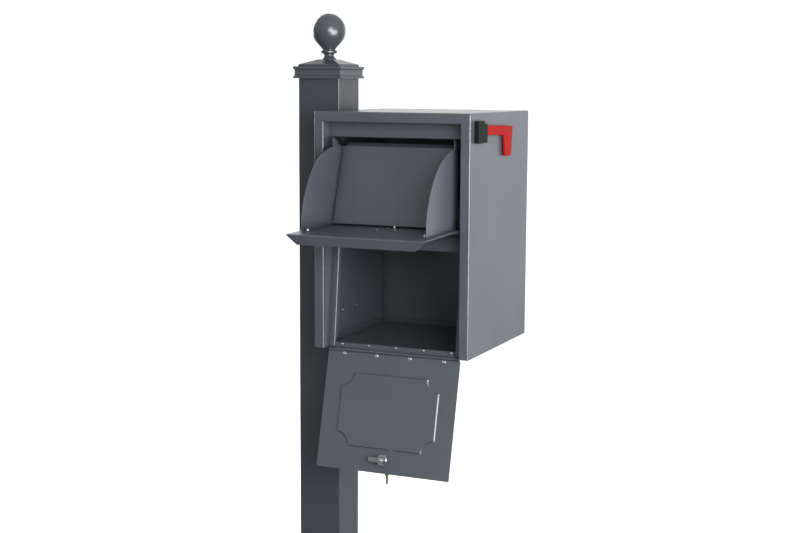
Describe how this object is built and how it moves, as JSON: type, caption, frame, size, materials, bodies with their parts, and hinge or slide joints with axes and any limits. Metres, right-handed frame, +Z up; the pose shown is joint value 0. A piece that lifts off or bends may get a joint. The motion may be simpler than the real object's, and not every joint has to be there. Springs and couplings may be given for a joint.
{
  "type": "side-post locking mailbox",
  "caption": "Curbside steel mailbox bolted to the side of a square post, with a tip-out mail hopper, a locking retrieval door below it, a signal flag and a ball finial.",
  "frame": {"origin": "centre of the post's foot, on the underside of the base plate", "axes": "+Z up, +X from the post towards the box, -Y the side that the doors face"},
  "size_m": [0.5199, 0.5372, 1.5513],
  "materials": {
    "post_paint": "satin graphite powder coat",
    "cap_paint": "satin graphite powder coat on a casting",
    "box_paint": "satin graphite powder coat",
    "hopper_paint": "satin graphite powder coat",
    "door_paint": "satin graphite powder coat",
    "zinc_steel": "bright zinc plate",
    "rivet_aluminium": "plain rivet heads",
    "lock_chrome": "bright plated zinc casting",
    "key_brass": "plain milled brass",
    "black_plastic": "matte moulded",
    "red_plastic": "satin moulded"
  },
  "bodies": {
    "stand": {"post_tube": "post_paint", "base_plate": "post_paint", "foot_weld": "post_paint", "post_cap": "cap_paint", "ball_finial": "cap_paint", "finial_stud": "zinc_steel", "finial_nut": "zinc_steel", "cap_screws": "zinc_steel", "housing_wrap": "box_paint", "rear_panel": "box_paint", "rear_rivets": "box_paint", "floor_pan": "box_paint", "header_panel": "box_paint", "mid_rail": "box_paint", "left_jamb": "box_paint", "right_jamb": "box_paint", "box_bolts": "box_paint", "bolt_washers": "box_paint", "post_rivet_nuts": "zinc_steel", "hopper_rod": "zinc_steel", "rod_spacers": "black_plastic", "rod_push_nuts": "zinc_steel", "flag_bracket": "black_plastic", "flag_pivot": "black_plastic", "flag_screws": "zinc_steel", "hinge_fixed_leaf": "door_paint", "hinge_rivets": "rivet_aluminium", "hinge_pin": "zinc_steel"},
    "hopper": {"hopper_tray": "hopper_paint", "left_cheek": "hopper_paint", "right_cheek": "hopper_paint", "hopper_baffle": "hopper_paint", "cheek_cap_nuts": "lock_chrome", "tray_stud": "zinc_steel", "tray_stud_nut": "zinc_steel"},
    "retrieval_door": {"retrieval_door": "door_paint", "hinge_door_leaf": "door_paint", "door_rivets": "rivet_aluminium", "lock_housing": "lock_chrome", "lock_nut": "lock_chrome"},
    "lock": {"lock_plug": "lock_chrome", "lock_cam": "zinc_steel", "cam_screw": "lock_chrome", "key": "key_brass"},
    "keys": {"key_ring": "zinc_steel", "spare_key": "key_brass"},
    "flag": {"flag": "red_plastic"}
  },
  "joints": [
    {"name": "hopper_hinge", "type": "hinge", "parent": "stand", "child": "hopper", "pos_m": [0.2298, -0.144, 1.103], "axis": [-1, 0, 0], "range_deg": [0, 94]},
    {"name": "door_hinge", "type": "hinge", "parent": "stand", "child": "retrieval_door", "pos_m": [0.2298, -0.151, 0.8233], "axis": [-1, 0, 0], "range_deg": [0, 172.1]},
    {"name": "lock_turn", "type": "hinge", "parent": "retrieval_door", "child": "lock", "pos_m": [0.2298, -0.20604, 0.60256], "axis": [0, -0.9703, 0.2419], "range_deg": [0, 90]},
    {"name": "ring_swing", "type": "hinge", "parent": "lock", "child": "keys", "pos_m": [0.2298, -0.18178, 0.59651], "axis": [1, 0, 0], "range_deg": [0, 172.1]},
    {"name": "flag_lift", "type": "hinge", "parent": "stand", "child": "flag", "pos_m": [0.4135, -0.1235, 1.3033], "axis": [1, 0, 0], "range_deg": [0, 92]}
  ],
  "couplings": [
    {"joint": "ring_swing", "follows": "door_hinge", "ratio": 1}
  ]
}
